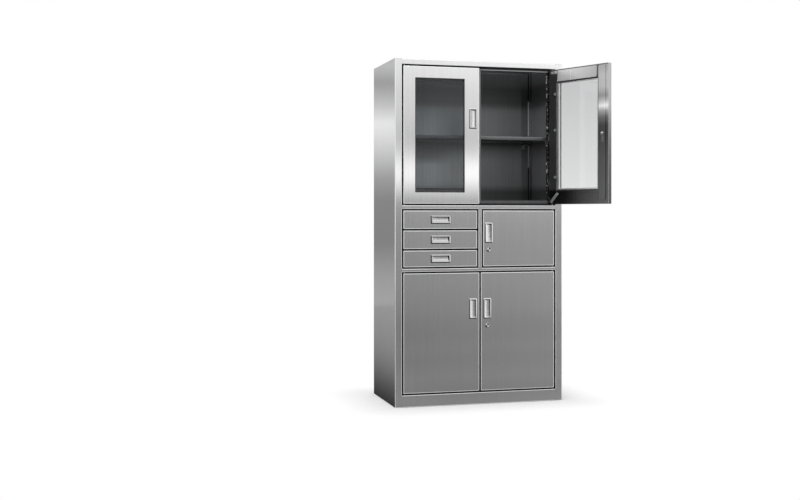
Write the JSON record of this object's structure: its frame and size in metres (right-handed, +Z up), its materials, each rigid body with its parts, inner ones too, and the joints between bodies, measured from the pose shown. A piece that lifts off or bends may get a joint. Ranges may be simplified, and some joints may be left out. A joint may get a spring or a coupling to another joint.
{
  "type": "glass door medical cabinet",
  "caption": "Tall stainless steel clinic cabinet: glass doors over a shelf, drawers beside a small locker, panel doors below, dished pulls and cam locks.",
  "frame": {"origin": "on the floor under the middle of the carcass, on the underside of the middle base channel", "axes": "+Z up, front of the cabinet towards -Y, +X to the right of someone facing the doors"},
  "size_m": [1.01, 0.8117, 1.75],
  "materials": {
    "brushed_steel": "satin stainless sheet with fine upright grain",
    "inner_steel": "plain stainless sheet with a dull mill finish",
    "pull_chrome": "satin chromed casting",
    "lock_chrome": "polished chromed plug and zinc cam",
    "clip_steel": "bright zinced steel",
    "pin_steel": "turned steel",
    "pane_glass": "clear float glass",
    "seal_rubber": "black glazing rubber"
  },
  "bodies": {
    "cabinet": {"left_side_panel": "brushed_steel", "right_side_panel": "brushed_steel", "back_panel": "brushed_steel", "top_panel": "brushed_steel", "bottom_deck": "brushed_steel", "lower_deck": "brushed_steel", "upper_deck": "brushed_steel", "base_frame": "inner_steel", "centre_partition": "brushed_steel", "upper_shelf": "inner_steel", "front_left_upright": "inner_steel", "front_right_upright": "inner_steel", "rear_left_upright": "inner_steel", "rear_right_upright": "inner_steel", "front_left_shelf_clip": "clip_steel", "front_right_shelf_clip": "clip_steel", "rear_left_shelf_clip": "clip_steel", "rear_right_shelf_clip": "clip_steel", "left_drawer_runner": "inner_steel", "right_drawer_runner": "inner_steel", "left_glass_door_top_pin": "pin_steel", "left_glass_door_bottom_pin": "pin_steel", "right_glass_door_top_pin": "pin_steel", "right_glass_door_bottom_pin": "pin_steel", "locker_door_top_pin": "pin_steel", "locker_door_bottom_pin": "pin_steel", "lower_left_door_top_pin": "pin_steel", "lower_left_door_bottom_pin": "pin_steel", "lower_right_door_top_pin": "pin_steel", "lower_right_door_bottom_pin": "pin_steel"},
    "left_glass_door": {"left_glass_door_frame": "brushed_steel", "left_glass_door_pane": "pane_glass", "left_glass_door_retainer": "inner_steel", "left_glass_door_pull": "pull_chrome"},
    "right_glass_door": {"right_glass_door_frame": "brushed_steel", "right_glass_door_pane": "pane_glass", "right_glass_door_retainer": "inner_steel", "right_glass_door_pull": "pull_chrome"},
    "locker_door": {"locker_door_skin": "brushed_steel", "locker_door_inner_panel": "inner_steel", "locker_door_pull": "pull_chrome"},
    "lower_left_door": {"lower_left_door_skin": "brushed_steel", "lower_left_door_inner_panel": "inner_steel", "lower_left_door_pull": "pull_chrome"},
    "lower_right_door": {"lower_right_door_skin": "brushed_steel", "lower_right_door_inner_panel": "inner_steel", "lower_right_door_pull": "pull_chrome"},
    "top_drawer": {"top_drawer_front": "brushed_steel", "top_drawer_pull": "pull_chrome", "top_drawer_box": "inner_steel"},
    "middle_drawer": {"middle_drawer_front": "brushed_steel", "middle_drawer_pull": "pull_chrome", "middle_drawer_box": "inner_steel"},
    "bottom_drawer": {"bottom_drawer_front": "brushed_steel", "bottom_drawer_pull": "pull_chrome", "bottom_drawer_box": "inner_steel"},
    "glass_door_cam_lock": {"glass_door_lock": "lock_chrome"},
    "locker_cam_lock": {"locker_lock": "lock_chrome"},
    "lower_door_cam_lock": {"lower_door_lock": "lock_chrome"}
  },
  "joints": [
    {"name": "left_glass_door_hinge", "type": "hinge", "parent": "cabinet", "child": "left_glass_door", "pos_m": [-0.399, -0.2162, 1.368], "axis": [0, 0, -1], "range_deg": [0, 115]},
    {"name": "right_glass_door_hinge", "type": "hinge", "parent": "cabinet", "child": "right_glass_door", "pos_m": [0.399, -0.2162, 1.368], "axis": [0, 0, 1], "range_deg": [-113, 2]},
    {"name": "locker_door_hinge", "type": "hinge", "parent": "cabinet", "child": "locker_door", "pos_m": [0.399, -0.2162, 0.845], "axis": [0, 0, 1], "range_deg": [0, 115]},
    {"name": "lower_left_door_hinge", "type": "hinge", "parent": "cabinet", "child": "lower_left_door", "pos_m": [-0.399, -0.2162, 0.37], "axis": [0, 0, -1], "range_deg": [0, 115]},
    {"name": "lower_right_door_hinge", "type": "hinge", "parent": "cabinet", "child": "lower_right_door", "pos_m": [0.399, -0.2162, 0.37], "axis": [0, 0, 1], "range_deg": [0, 115]},
    {"name": "top_drawer_slide", "type": "slide", "parent": "cabinet", "child": "top_drawer", "axis": [0, -1, 0], "range_m": [0, 0.3]},
    {"name": "middle_drawer_slide", "type": "slide", "parent": "cabinet", "child": "middle_drawer", "axis": [0, -1, 0], "range_m": [0, 0.3]},
    {"name": "bottom_drawer_slide", "type": "slide", "parent": "cabinet", "child": "bottom_drawer", "axis": [0, -1, 0], "range_m": [0, 0.3]},
    {"name": "glass_door_lock_turn", "type": "hinge", "parent": "right_glass_door", "child": "glass_door_cam_lock", "pos_m": [0.53691, -0.54929, 1.37], "axis": [-0.9205, -0.3907, 0], "range_deg": [0, 90]},
    {"name": "locker_lock_turn", "type": "hinge", "parent": "locker_door", "child": "locker_cam_lock", "pos_m": [0.0465, -0.213, 0.788], "axis": [0, 1, 0], "range_deg": [0, 90]},
    {"name": "lower_door_lock_turn", "type": "hinge", "parent": "lower_right_door", "child": "lower_door_cam_lock", "pos_m": [0.0385, -0.213, 0.402], "axis": [0, 1, 0], "range_deg": [0, 90]}
  ]
}
